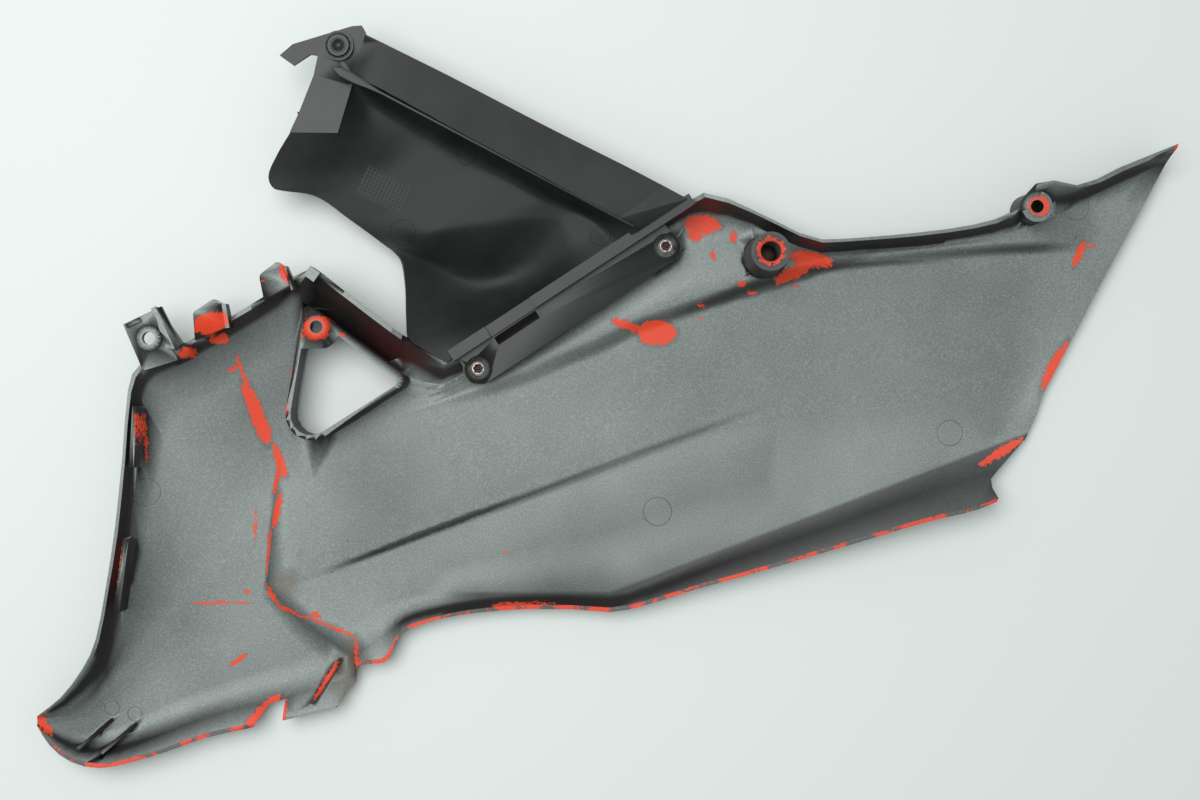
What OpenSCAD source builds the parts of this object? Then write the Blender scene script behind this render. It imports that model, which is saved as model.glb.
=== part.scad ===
// Side half of a motorcycle belly pan with its inner air guide.
// It lies on its painted face with the inside up: X runs from the nose to the tail,
// Y from the lower edge to the upper edge, and Z is zero at the lowest line of the painted face.

/* [Side panel] */
// Length of the panel from the nose to the tip of the tail
panel_len = 582; // [540:1:620]
// Width of the panel from the nose edge to the tip of the tail
panel_wid = 318; // [300:1:340]
// Wall thickness of the side panel
skin = 2.8; // [2.2:0.1:3.6]
// Width of the flat land on top of the rims
rim_land = 2.4; // [1.6:0.1:3.2]
// Height of the step between the nose and the flank
step_h = 4.6; // [3:0.1:6]

/* [Window] */
// Height of the collar round the window
collar_h = 24; // [20:0.5:28]
// Wall thickness of the collar
collar_t = 2.6; // [2:0.1:3.5]
// Step of the ledge along the upper side of the window
ledge_w = 1.6; // [1:0.1:2.5]
// Thickness of the ear that fills one corner of the window
ear_t = 3; // [2:0.1:4]

/* [Fixing points] */
// Diameter of the clearance holes
hole_d = 6.5; // [5.5:0.1:7]
// Outer diameter of the raised rings round the clearance holes
ring_d = 13; // [11:0.1:14]
// Height of the raised rings
ring_h = 0.8; // [0.4:0.1:1.5]
// Height of the grommet boss above the painted face
grommet_h = 45; // [38:0.5:50]
// Outer diameter of the grommet boss at its top
grommet_d = 19.4; // [17:0.1:22]
// Diameter of the blind hole in the grommet boss
grommet_hole_d = 9.8; // [8:0.1:11]
// Depth of the blind hole in the grommet boss
grommet_hole_h = 24; // [15:0.5:30]
// Height of the rear boss above the painted face
rear_h = 24; // [20:0.5:27]
// Outer diameter of the rear boss
rear_d = 15.6; // [14:0.1:18]
// Thickness of the tabs on the front rim
tab_t = 3; // [2:0.1:4]

/* [Air guide] */
// Wall thickness of the air guide
guide_t = 2.5; // [2:0.1:3]
// Height of the underside of the mounting flange
seat_h = 20; // [18:0.5:22]
// Gap between the air guide and what it sits on
seat_gap = 0.2; // [0.1:0.05:0.4]
// Half width of the flange round each screw
flange_r = 8; // [7.5:0.1:9]
// Height of the bead along the flange, above the flange
bead_h = 4.5; // [3:0.1:6]
// Diameter of the pad under each screw head
pad_d = 13.4; // [12:0.1:15]
// Height of the pad under each screw head
pad_h = 1.4; // [0.8:0.1:2]
// Diameter of the hole for the rivet
clip_hole_d = 8; // [7:0.1:9]

/* [Screws] */
// Shank diameter of the screws
shank_d = 4.8; // [4:0.1:5]
// Length of the shank under the head
shank_len = 14; // [10:0.5:16]
// Diameter of the flange under the head
screw_flange_d = 10.6; // [9:0.1:12]
// Diameter of the head
head_d = 7.6; // [6.5:0.1:8.5]
// Height of the head with its flange
head_h = 3.6; // [3:0.1:4.5]
// Radial clearance round the shanks
shank_gap = 0.2; // [0.1:0.05:0.3]

/* [Push rivet] */
// Diameter of the rivet's flange
clip_flange_d = 15; // [13:0.1:17]
// Thickness of the rivet's flange
clip_flange_t = 1.6; // [1.2:0.1:2.2]
// Diameter of the rivet's cap
clip_cap_d = 10.6; // [9:0.1:11.5]
// Length of the rivet below the tab
clip_len = 9; // [7:0.5:12]

/* [Hidden] */
eps = 0.01;

// Guide lines of the panel: [station, x, y, height]. Stations run from the nose (0)
// over the step (10 and 10.5) to the tail (32). Heights are those of the inside less the skin.
lower_rim = [
    [0, -288, -167, 11], [1, -281, -177, 12], [2, -270, -185, 13], [3, -255, -188, 14],
    [4, -239, -185, 14], [5, -222, -180, 13], [6, -202, -173, 12], [7, -179, -168, 11.5],
    [9, -135, -158, 10], [10, -122, -154, 10], [10.5, -124, -136, 9.5], [11, -111, -135, 9],
    [11.5, -108.5, -133, 9], [12, -106, -128, 9], [13, -102, -120, 8.5], [14, -92, -115.5, 8],
    [15, -77, -111.5, 8], [16, -59, -109, 8], [17, -36, -107.5, 8], [18, -15, -107.5, 8.5],
    [19, 5, -109, 9], [20, 26, -104.5, 10], [21, 49, -97, 11], [22, 74, -90, 12],
    [24, 127, -74, 15], [26, 165, -62.5, 16], [28, 188, -57, 16], [32, 202, -52, 15]];
lower_foot = [
    [0, -288, -166, 10.5], [1, -276, -173, 6.5], [2, -264, -176.5, 3.2], [3, -252, -176, 1.6],
    [4, -238, -171, 1.2], [6, -201, -156, 0.8], [8, -155, -142, 0.6], [9, -141.5, -137.5, 0.6],
    [10, -129.5, -132, 0.6], [10.5, -128, -130, 0.6 + step_h], [11, -121.5, -119, 3.2],
    [12, -111, -113.5, 1.6], [13, -101, -110, 0.6], [14, -88, -106.5, 0], [16, -57, -102, 0],
    [17, -36, -100.5, 0], [18, -15.5, -100.5, 0], [19, 5, -101, 0], [20, 26, -95, 0],
    [22, 80, -71.5, 0], [24, 132, -51, 0], [26, 173, -33.5, 0], [28, 199, -25, 0],
    [32, 220, -20, 2]];
floor_line = [
    [0, -288, -165.3, 10.5], [1, -274.3, -168.3, 6], [3, -246, -161.5, 1.6], [5, -215, -145, 1.2],
    [7, -176, -132, 0.8], [9, -158, -124, 0.6], [10, -153.2, -116, 0.6],
    [10.5, -152, -114.3, 0.6 + step_h], [12, -128, -103.5, 1.8], [14, -97, -93, 0],
    [16, -61, -84, 0], [18, -17.5, -75, 0], [20, 26, -62, 0], [22, 79, -45.5, 0],
    [24, 132, -31, 0], [26, 175, -19, 0], [28, 203, -12.5, 0], [32, 225, -9, 2.2]];
valley = [
    [0, -288, -164.6, 10.5], [1, -273.6, -165.8, 6], [3, -244, -150, 2], [5, -215, -127, 1.4],
    [7, -190, -110, 1], [9, -177, -101, 0.6], [10, -173.4, -96.8, 0.6],
    [10.5, -171.6, -95.6, 0.6 + step_h], [11, -160, -95.5, 4], [12, -145, -91.5, 2.2],
    [13, -129.5, -86.5, 1], [14, -109, -78, 0], [15, -88, -70.5, 0], [16, -67, -62, 0],
    [18, -21, -43, 0], [20, 26, -25, 0], [22, 78, -14, 0], [24, 132, -7, 0], [28, 207, 1, 0],
    [32, 229.5, 4, 2.5]];
ridge = [
    [0, -288, -163.8, 10.5], [1, -273, -162.6, 6.5], [3, -246, -135, 4.5], [5, -222, -100.5, 4],
    [7, -201, -62, 3.4], [9, -178, -33.5, 2.4], [10, -165.6, -21.2, 2], [10.5, -164, -20.7, 2.4],
    [11, -162, -20.5, 2.2], [12, -157, -19, 2.2], [12.5, -154, -18.5, 2.2], [13, -130, -13.5, 2.2],
    [14, -112, -9.5, 2.2], [15, -97, -5, 2.8], [16, -77.5, 1, 3.6], [17, -51.5, 9.3, 4.2], [18, -26, 19, 4.4],
    [20, 23, 40, 4.4], [22, 72.5, 59.5, 4], [24, 118, 69.3, 3.6], [26, 168, 72, 3.2],
    [28, 214.5, 72, 3.2], [30, 239, 67.5, 4], [32, 257.5, 59, 5]];
upper_foot = [
    [0, -288, -163, 11], [1, -273.7, -156.8, 9.2], [2, -257.5, -141.5, 9.5],
    [3, -250.5, -125.5, 10.5], [4, -245.3, -99.5, 12], [5, -239.7, -69, 13],
    [6, -236, -31.5, 14], [7, -233, 0, 14], [8, -225, 12, 15], [9, -207.5, 20.3, 16],
    [10, -184, 33.5, 17], [11, -164, 44, 19], [12, -150.5, 49.5, 21], [12.5, -148.5, 48, 2],
    [13, -135, 38.5, 1], [14, -118, 26, 0.6], [15, -102.5, 14, 0.4], [16, -81.3, 8, 0],
    [17, -53.7, 25.8, 0], [18, -28, 43.4, 0], [20, 23.8, 77.6, 0], [21, 46.5, 94, 0],
    [22, 66.2, 94, 0], [23, 91, 84.3, 0], [24, 113.7, 76, 0], [25, 135.5, 77.6, 0],
    [26, 165.5, 79.5, 0], [28, 212, 86.3, 1], [29, 225, 90, 1.4], [30, 247.7, 102, 2.5],
    [31, 268, 111.4, 4], [32, 291, 121.5, 6]];
upper_rim = [
    [0, -288, -162, 11], [1, -275, -152, 14], [2, -263, -137, 17], [3, -255.5, -121.5, 19],
    [4, -250, -96, 21], [5, -245, -65.5, 22], [6, -241, -30, 23], [7, -238, 5, 23],
    [8, -231.5, 18, 24], [9, -212, 26.7, 25], [10, -188.5, 40, 26], [11, -162.5, 55.5, 29],
    [12, -145, 65.3, 32], [12.5, -139.8, 64.2, 34], [13, -127, 54.2, 35], [14, -109.5, 40.8, 35],
    [15, -98.5, 32.5, 33], [15.5, -96.8, 31.3, seat_h - skin - 1], [16, -79, 19.3, seat_h - skin - 1],
    [17, -57.5, 33.7, seat_h - skin - 0.6], [18, -31.5, 50.5, seat_h - skin - 0.6],
    [20, 20.4, 85, seat_h - skin - 0.6], [21, 44.7, 101, seat_h - skin - 0.6],
    [21.5, 52.5, 105, 21], [22, 64.6, 102, 22], [23, 88.3, 90.8, 21.5], [24, 112, 81.3, 21],
    [25, 132.3, 82.3, 20.5], [26, 162, 85, 20], [27, 189.7, 89, 20], [28, 209, 95.6, 20],
    [28.5, 215, 103.2, 20], [29, 221, 109.8, 20], [29.5, 229.7, 111.3, 20],
    [30, 241.6, 109, 19], [31, 263.7, 118.2, 18], [32, 294, 130.5, 17]];

// Guide lines of the air guide: [station, x, y, height of the top side].
guide_edge = [[0, -117.4, 183.6, 30], [1, -100.3, 175, 31], [2, -75.2, 162.5, 31],
    [4, -25, 136.4, 31], [6, 20, 113.9, 30], [7, 44, 101.4, 28]];
guide_crest = [[0, -124.4, 163, 34], [1, -104.5, 152.7, 36], [2, -79.6, 138.8, 37],
    [4, -39.8, 117.4, 37], [6, -1, 96.5, 34], [7, 19.7, 85.5, 29]];
guide_hollow = [[0, -129.3, 155, 30], [1, -114.8, 145.4, 17], [2, -92.5, 131, 10],
    [4, -51.5, 107, 8], [6, -14.3, 86, 14], [7, 4.7, 75.7, 23]];
guide_floor = [[0, -139.3, 142.8, 29.5], [1, -133, 122.7, 15], [2, -115.6, 102.8, 10],
    [4, -74.6, 77.2, 9], [6, -46, 58.8, 14], [7, -34.7, 49.9, 23]];
guide_side = [[0, -152, 145, 29.5], [0.5, -166, 124, 20], [1, -169, 112.8, 13],
    [1.5, -163, 107, 12], [2, -149, 104.9, 11], [3, -128.5, 92.5, 10], [4, -109, 78.2, 11],
    [5, -99.8, 58.9, 14], [6, -95.5, 34, 19.5], [7, -75.4, 23.3, 23]];

// Scale from the drawn guide lines to the panel's size.
drawn_len = upper_rim[len(upper_rim) - 1][1] - lower_rim[0][1];
drawn_wid = upper_rim[len(upper_rim) - 1][2] - lower_rim[3][2];
kx = panel_len / drawn_len;
ky = panel_wid / drawn_wid;
function at(p) = [p[0] * kx, p[1] * ky];

// Tab plate at the front end of the air guide, with the hook at its left.
tab_plate = [for (p = [[-154, 178.6], [-160.5, 173], [-153.5, 168], [-149, 171], [-145, 173.6],
    [-141.4, 173], [-143.5, 163], [-151, 144], [-155.5, 134.3], [-131.4, 134], [-122, 165.5],
    [-117.4, 184.6], [-119.4, 188], [-124.4, 187.6]]) at(p)];
tab_top = 31;

// Frame of the whole part: the middle of its outline lies at the origin.
origin_x = (lower_rim[0][1] + upper_rim[len(upper_rim) - 1][1]) / 2 * kx;
origin_y = (lower_rim[3][2] * ky + tab_plate[12][1]) / 2;

// Places of the fixing points.
tab_hole = at([-226, 31]);
ear_hole = at([-143.3, 37]);
grommet_at = at([84.2, 73.4]);
rear_at = at([221, 98]);
screw_a = at([-61.3, 15.8]);
screw_b = at([33.3, 77.6]);
clip_at = at([-130.9, 177.6]);
screw_len = norm(screw_b - screw_a);
screw_turn = atan2(screw_b[1] - screw_a[1], screw_b[0] - screw_a[0]);
flange_top = seat_h + guide_t;
front_rim_top = 28;

// Smooth curve through the points of a guide line, at station s, which never overshoots a point.
function rise(a, b, k) = (b[k] - a[k]) / (b[0] - a[0]);
function eased(before, after, across) =
    before * after <= 0 ? 0 : sign(across) * min(abs(across), 2 * abs(before), 2 * abs(after));
function slope_at(t, i) =
    let (a = t[max(i - 1, 0)], b = t[i], c = t[min(i + 1, len(t) - 1)])
    [for (k = [1:3]) i == 0 ? rise(b, c, k) : i == len(t) - 1 ? rise(a, b, k) :
        eased(rise(a, b, k), rise(b, c, k), rise(a, c, k))];
function seek(t, s, i = 0) = (i >= len(t) - 2 || s < t[i + 1][0]) ? i : seek(t, s, i + 1);
function on_line(t, s) =
    let (i = seek(t, s), w = t[i + 1][0] - t[i][0], u = (s - t[i][0]) / w,
        a = [for (k = [1:3]) t[i][k]], b = [for (k = [1:3]) t[i + 1][k]])
    a * (2 * u * u * u - 3 * u * u + 1) + b * (3 * u * u - 2 * u * u * u)
    + slope_at(t, i) * w * (u * u * u - 2 * u * u + u)
    + slope_at(t, i + 1) * w * (u * u * u - u * u);
function place(t, s) = let (p = on_line(t, s)) [p[0] * kx, p[1] * ky, p[2]];

function flat(p) = [p[0], p[1]];
function between(a, b, u) = a + (b - a) * u;
function land(rim, foot) =
    let (d = flat(foot) - flat(rim), w = min(rim_land, norm(d) * 0.3))
    [rim[0] + d[0] / norm(d) * w, rim[1] + d[1] / norm(d) * w, rim[2]];
// A wall between foot and rim starts flat and gets steeper, as a moulded radius does.
function on_wall(foot, rim, u) =
    let (p = between(foot, rim, u)) [p[0], p[1], foot[2] + (rim[2] - foot[2]) * pow(u, 1.3)];

// One row of the panel's inside, from the lower rim to the upper rim.
function panel_row(s) =
    let (r0 = place(lower_rim, s), r1 = place(lower_foot, s), r2 = place(floor_line, s),
        r3 = place(valley, s), r4 = place(ridge, s), r5 = place(upper_foot, s),
        r6 = place(upper_rim, s), low = land(r0, r1), high = land(r6, r5))
    [for (p = [r0, low, on_wall(r1, low, 0.5), r1, between(r1, r2, 0.5), r2,
        between(r2, r3, 0.5), r3, between(r3, r4, 1 / 3), between(r3, r4, 2 / 3), r4,
        between(r4, r5, 1 / 3), between(r4, r5, 2 / 3), r5, on_wall(r5, high, 0.5), high, r6])
        [p[0], p[1], max(p[2], 0) + skin]];
LAND_LOW = 1;
FOOT_LOW = 3;
FOOT_HIGH = 13;
LAND_HIGH = 15;

function steepness(row, j) =
    abs(row[j + 1][2] - row[j][2]) / max(norm(flat(row[j + 1]) - flat(row[j])), eps);
// Steepness that sets the depth below point j, so that walls and floor are equally thick.
function lean(row, j) =
    j == 0 || j == len(row) - 1 ? 0 :
    j == LAND_LOW ? steepness(row, j) :
    j == LAND_HIGH ? steepness(row, j - 1) :
    j == FOOT_LOW ? steepness(row, j) :
    j == FOOT_HIGH ? steepness(row, j - 1) :
    (steepness(row, j) + steepness(row, j - 1)) / 2;
function under(row, t, share) =
    [for (j = [0:len(row) - 1]) let (d = t * sqrt(1 + pow(min(lean(row, j), 3), 2)))
        [row[j][0], row[j][1], max(row[j][2] - d, 0) * share + row[j][2] * (1 - share)]];

// Closed solid between two grids of points that lie over each other.
module between_grids(top, low) {
    n = len(top);
    m = len(top[0]);
    all = n * m;
    pts = concat([for (r = top) for (p = r) p], [for (r = low) for (p = r) p]);
    function quad(a, b, c, d) = [[a, b, c], [a, c, d]];
    faces = concat(
        [for (i = [0:n - 2]) for (j = [0:m - 2]) let (a = i * m + j)
            for (f = quad(a, a + 1, a + m + 1, a + m)) f],
        [for (i = [0:n - 2]) for (j = [0:m - 2]) let (a = all + i * m + j)
            for (f = quad(a, a + m, a + m + 1, a + 1)) f],
        [for (i = [0:n - 2]) let (a = i * m)
            for (f = quad(a, a + m, all + a + m, all + a)) f],
        [for (i = [0:n - 2]) let (a = i * m + m - 1)
            for (f = quad(a + m, a, all + a, all + a + m)) f],
        [for (j = [0:m - 2]) for (f = quad(j + 1, j, all + j, all + j + 1)) f],
        [for (j = [0:m - 2]) let (a = (n - 1) * m + j)
            for (f = quad(a, a + 1, all + a + 1, all + a)) f]);
    polyhedron(pts, faces, convexity = 10);
}

stations = [for (s = [0:0.5:32]) s];
module panel_skin() {
    rows = [for (s = stations) panel_row(s)];
    between_grids(rows, [for (r = rows) under(r, skin, 1)]);
}
// Everything over the middle of the skin in the stretch from station a to station b.
module over_skin(a, b) {
    rows = [for (s = [a:0.5:b]) panel_row(s)];
    between_grids([for (r = rows) [for (p = r) [p[0], p[1], 90]]],
        [for (r = rows) under(r, skin, 0.5)]);
}

// Outline with rounded corners: [x, y, radius] for each corner, in order.
function corner(a, b, c, r) =
    let (u = (a - b) / norm(a - b), v = (c - b) / norm(c - b), half = acos(u * v) / 2,
        t = r / tan(half), m = b + (u + v) / norm(u + v) * r / sin(half),
        p = b + u * t - m, q = b + v * t - m, a0 = atan2(p[1], p[0]),
        turn = atan2(p[0] * q[1] - p[1] * q[0], p * q))
    r < eps ? [b] : [for (k = [0:6]) m + r * [cos(a0 + turn * k / 6), sin(a0 + turn * k / 6)]];
function rounded(c) =
    [for (i = [0:len(c) - 1]) let (n = len(c), a = c[(i + n - 1) % n], b = c[i], d = c[(i + 1) % n])
        for (p = corner(flat(a), flat(b), flat(d), b[2])) p];
// The same outline with each side moved inwards by d.
function inset(c, d) =
    [for (i = [0:len(c) - 1]) let (n = len(c), a = flat(c[(i + n - 1) % n]), b = flat(c[i]),
        e = flat(c[(i + 1) % n]), u = (a - b) / norm(a - b), v = (e - b) / norm(e - b),
        m = b + (u + v) / norm(u + v) * d / sin(acos(u * v) / 2))
        [m[0], m[1], max(c[i][2] - d, 0)]];
function placed(c) = [for (p = c) [p[0] * kx, p[1] * ky, p[2]]];

ledge = [ledge_w, ledge_w * 0.7, 0];
// Window: outer face of the collar, clear space inside it and opening beside the ear.
window_outer = placed([[-149.5, 49.8, 3], [-163.8, -34.2, 13], [-95, 9.8, 5]]);
window_inner = inset(window_outer, collar_t);
window_open = concat(placed([[-151.1, 26.1, 0.8]]), [window_inner[1], window_inner[2] - ledge],
    placed([[-132, 32.5, 0], [-137.5, 26.1, 7]]));
module collar() {
    intersection() {
        union() {
            difference() {
                linear_extrude(collar_h) polygon(rounded(window_outer));
                translate([0, 0, -eps]) linear_extrude(collar_h + 1) polygon(rounded(window_inner));
            }
            translate([0, 0, collar_h - ear_t]) linear_extrude(ear_t) difference() {
                polygon(rounded(window_outer));
                polygon(rounded(window_open));
            }
        }
        over_skin(10.5, 17);
    }
    translate([ear_hole[0], ear_hole[1], collar_h - eps]) cylinder(h = ring_h, d = ring_d, $fn = 48);
}

// Drafted boss from the middle of the skin up to a height.
module boss(p, h, d, draft) {
    translate([p[0], p[1], skin / 2])
        cylinder(h = h - skin / 2, d1 = d + 2 * draft, d2 = d, $fn = 64);
}

// Flat upright plate from a to b: heights at its foot and its top, given at a and at b.
module fin(a, b, foot, top, t) {
    long = norm(b - a);
    translate([a[0], a[1], 0]) rotate([0, 0, atan2(b[1] - a[1], b[0] - a[0])])
        translate([0, t / 2, 0]) rotate([90, 0, 0]) linear_extrude(t)
            polygon([[0, foot[0]], [long, foot[1]], [long, top[1]], [0, top[0]]]);
}

module front_tabs() {
    z = front_rim_top;
    // Square tab with a clearance hole, a raised ring, a web and a block.
    translate([0, 0, z]) linear_extrude(tab_t)
        polygon([for (p = [[-239, 38], [-220, 47], [-210.5, 28], [-208, 22], [-212, 20],
            [-228, 15], [-230, 17]]) at(p)]);
    translate([tab_hole[0], tab_hole[1], z + tab_t - eps]) cylinder(h = ring_h, d = ring_d, $fn = 48);
    fin(at([-222.5, 46]), at([-210, 25]), [z, z - 8], [z + 9, z + 9], 2.4);
    fin(at([-237, 37]), at([-230, 40.5]), [z, z], [z + 5, z + 5], 2);
    translate([at([-210.8, 20])[0], at([-210.8, 20])[1], z - 8]) rotate([0, 0, 30]) cube([7, 6, 13]);
    // Two rounded tongues.
    translate([0, 0, z]) linear_extrude(tab_t) polygon(rounded(placed([[-203, 30, 0],
        [-204, 44, 3], [-193.5, 51, 3], [-188.5, 48, 2], [-186, 37, 0]])));
    translate([0, 0, z + 2]) linear_extrude(tab_t) polygon(rounded(placed([[-168, 50, 0],
        [-170.5, 62.5, 3], [-161.5, 69.5, 3], [-157, 67, 2], [-153, 57, 0]])));
    fin(at([-187.5, 48]), at([-185.5, 36]), [z, z - 2], [z + 8, z + 8], 2);
    fin(at([-157, 66.5]), at([-152.5, 55]), [z + 2, z], [z + 10, z + 10], 2);
    // Knob at the top corner.
    translate([at([-146.5, 62])[0], at([-146.5, 62])[1], z]) rotate([0, 0, -36]) cube([6, 5.5, 14]);
}

module edge_fins() {
    fin(at([-232.8, -3]), at([-235, -34]), [15, 15], [32, 31], 2.4);
    fin(at([-238, -70]), at([-243.5, -107]), [14, 13], [30, 27], 3);
}
module gussets() {
    fin(at([-251.5, -165]), at([-266.5, -178.5]), [2.6, 8], [6, 16], 1.8);
    fin(at([-239.5, -167.5]), at([-254.5, -180.5]), [2.4, 8], [5, 15.5], 1.8);
    fin(at([-134, -134]), at([-147.5, -156]), [1.5, 8], [5, 12.5], 2);
}

module break_outline() {
    // Lost piece of the nose edge: a notch and a ragged end.
    polygon([for (p = [[-177.5, -167.5], [-170, -156.5], [-162, -154], [-162.5, -164.5],
        [-150, -161.5], [-160, -185], [-185, -185]]) at(p)]);
    polygon([for (p = [[-135, -157.3], [-131, -151], [-126.5, -146], [-125.4, -141], [-124.2, -136],
        [-111, -135.6], [-104, -160], [-135, -168]]) at(p)]);
}
module tail_bite() {
    polygon([for (p = [[219, -21], [200.6, -40.5], [200.6, -45], [203.5, -51.5], [240, -51.5],
        [240, -21]]) at(p)]);
}

module side_panel() {
    color([0.42, 0.44, 0.45]) difference() {
        union() {
            panel_skin();
            collar();
            front_tabs();
            edge_fins();
            gussets();
            boss(grommet_at, grommet_h, grommet_d, 1.6);
            boss(rear_at, rear_h, rear_d, 0.4);
            for (p = [screw_a, screw_b]) boss(p, seat_h - seat_gap, 11, 0.6);
        }
        translate([0, 0, -1]) linear_extrude(collar_h - ear_t + 1) polygon(rounded(window_inner));
        translate([0, 0, -1]) linear_extrude(60) polygon(rounded(window_open));
        translate([0, 0, -1]) linear_extrude(60) break_outline();
        translate([0, 0, -1]) linear_extrude(60) tail_bite();
        for (p = [tab_hole, ear_hole, rear_at])
            translate([p[0], p[1], -1]) cylinder(h = 60, d = hole_d, $fn = 48);
        translate([grommet_at[0], grommet_at[1], grommet_h - grommet_hole_h])
            cylinder(h = grommet_hole_h + 1, d = grommet_hole_d, $fn = 48);
        for (p = [screw_a, screw_b]) translate([p[0], p[1], skin])
            cylinder(h = seat_h, d = shank_d + 2 * shank_gap, $fn = 32);
    }
}

// Place on the flange: u along the line of the screws, v across it towards the outer strip.
function on_flange(u, v) = screw_a + u * [cos(screw_turn), sin(screw_turn)]
    + v * [-sin(screw_turn), cos(screw_turn)];
bead_v = 10;
bead_w = 6;
flange_over = 6;
slot_u = 15;
slot_len = 25;
slot_v = 4.6;
slot_w = 4.4;

function guide_row(s) =
    let (a = place(guide_edge, s), b = place(guide_crest, s), c = place(guide_hollow, s),
        d = place(guide_floor, s), e = place(guide_side, s),
        line = [for (i = [0:3]) let (p = [e, d, c, b][i]) [i, p[0], p[1], p[2]]])
    concat([for (v = [0:0.25:3]) on_line(line, v)], [a]);
function guide_under(row) =
    [for (j = [0:len(row) - 1]) let (m = j == 0 ? 0 : j == len(row) - 1 ? 0 :
        (steepness(row, j) + steepness(row, j - 1)) / 2)
        row[j] - [0, 0, guide_t * sqrt(1 + pow(min(m, 2.5), 2))]];

module duct_panel() {
    color([0.2, 0.21, 0.21]) difference() {
        union() {
            rows = [for (s = [0:0.5:7]) guide_row(s)];
            between_grids(rows, [for (r = rows) guide_under(r)]);
            // Mounting flange with its bead and the pads under the screws.
            translate([0, 0, seat_h]) linear_extrude(guide_t) union() {
                translate(screw_a) circle(r = flange_r, $fn = 48);
                translate(screw_b) circle(r = flange_r, $fn = 48);
                translate(screw_a) rotate(screw_turn) translate([0, -flange_r])
                    square([screw_len, flange_r + bead_v + 1]);
                translate(screw_a) rotate(screw_turn) translate([-flange_over, 0])
                    square([screw_len + 2 * flange_over, bead_v + 1]);
            }
            for (part = [[-8, 14, bead_h], [14, 41, bead_h - 2.5], [41, 137, bead_h]])
                translate([screw_a[0], screw_a[1], seat_h]) rotate([0, 0, screw_turn])
                    translate([part[0] - eps, bead_v, 0])
                        cube([part[1] - part[0] + 2 * eps, bead_w, guide_t + part[2]]);
            for (p = [screw_a, screw_b]) translate([p[0], p[1], flange_top - eps])
                cylinder(h = pad_h, d = pad_d, $fn = 48);
            translate([0, 0, tab_top - guide_t]) linear_extrude(guide_t) polygon(tab_plate);
            fin(at([-97, 50]), at([-94, 25]), [17, seat_h + 0.4], [29, 32], 2);
        }
        for (p = [screw_a, screw_b]) translate([p[0], p[1], seat_h - 1])
            cylinder(h = 12, d = shank_d + 2 * shank_gap, $fn = 32);
        translate([screw_a[0], screw_a[1], seat_h - 1]) rotate([0, 0, screw_turn])
            translate([slot_u, slot_v, 0]) cube([slot_len, slot_w, 12]);
        translate([clip_at[0], clip_at[1], tab_top - 10]) cylinder(h = 20, d = clip_hole_d, $fn = 48);
    }
}

// Flanged pan head with a six-lobed recess and a centre pin.
module screw() {
    flange_h = head_h / 3;
    difference() {
        union() {
            translate([0, 0, -shank_len]) cylinder(h = shank_len + 1, d = shank_d, $fn = 32);
            cylinder(h = flange_h, d = screw_flange_d, $fn = 48);
            cylinder(h = head_h - 0.6, d = head_d, $fn = 48);
            translate([0, 0, head_h - 0.6 - eps]) cylinder(h = 0.6, d1 = head_d, d2 = head_d - 1.6, $fn = 48);
        }
        difference() {
            union() {
                translate([0, 0, head_h - 2]) cylinder(h = 3, d = head_d * 0.42, $fn = 24);
                for (k = [0:5]) rotate([0, 0, 60 * k]) translate([head_d * 0.21, 0, head_h - 2])
                    cylinder(h = 3, d = head_d * 0.15, $fn = 16);
            }
            translate([0, 0, head_h - 3]) cylinder(h = 2.4, d = head_d * 0.16, $fn = 16);
        }
    }
}
module screws() {
    color([0.75, 0.75, 0.76])
        for (p = [screw_a, screw_b]) translate([p[0], p[1], flange_top + pad_h - eps]) screw();
}

clip_fit = 0.15;
clip_bore_d = 4.6;
module clip_body() {
    shank = clip_hole_d - 2 * clip_fit;
    color([0.1, 0.1, 0.1]) translate([clip_at[0], clip_at[1], tab_top]) difference() {
        union() {
            cylinder(h = clip_flange_t, d = clip_flange_d, $fn = 48);
            translate([0, 0, -clip_len]) cylinder(h = clip_len + eps, d = shank, $fn = 48);
        }
        translate([0, 0, -clip_len - 1]) cylinder(h = clip_len + 5, d = clip_bore_d, $fn = 32);
        translate([0, 0, clip_flange_t - 0.6]) cylinder(h = 2, d = clip_cap_d + 0.6, $fn = 48);
        for (a = [0, 90]) rotate([0, 0, a]) translate([-5, -0.6, -clip_len - 1])
            cube([10, 1.2, clip_len - guide_t]);
    }
}
module clip_pin() {
    color([0.13, 0.13, 0.13]) translate([clip_at[0], clip_at[1], tab_top]) difference() {
        union() {
            translate([0, 0, clip_flange_t - 0.6]) cylinder(h = 1.5, d = clip_cap_d, $fn = 48);
            translate([0, 0, -clip_len + 1])
                cylinder(h = clip_len + clip_flange_t - 1, d = clip_bore_d - 2 * clip_fit, $fn = 32);
        }
        translate([0, 0, clip_flange_t + 0.4]) cylinder(h = 2, d = clip_cap_d / 2, $fn = 32);
    }
}

module in_frame() {
    translate([-origin_x, -origin_y, 0]) children();
}
in_frame() side_panel();
in_frame() duct_panel();
in_frame() screws();
in_frame() clip_body();
in_frame() clip_pin();
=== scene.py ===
# %% [markdown]
# # A motorcycle belly pan side, lying on its painted face
# The solids of the part are already built at their real size. This lesson gives them the look of
# the used moulding: an oversprayed grey inside with orange undercoat in its chips, a black air
# guide, two plated screws and a nylon push rivet. Everything is in metres, in the part's own frame:
# X runs from the nose to the tail, Y from the lower edge to the upper edge, and Z points up.

# %% Load the part
import math

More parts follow.
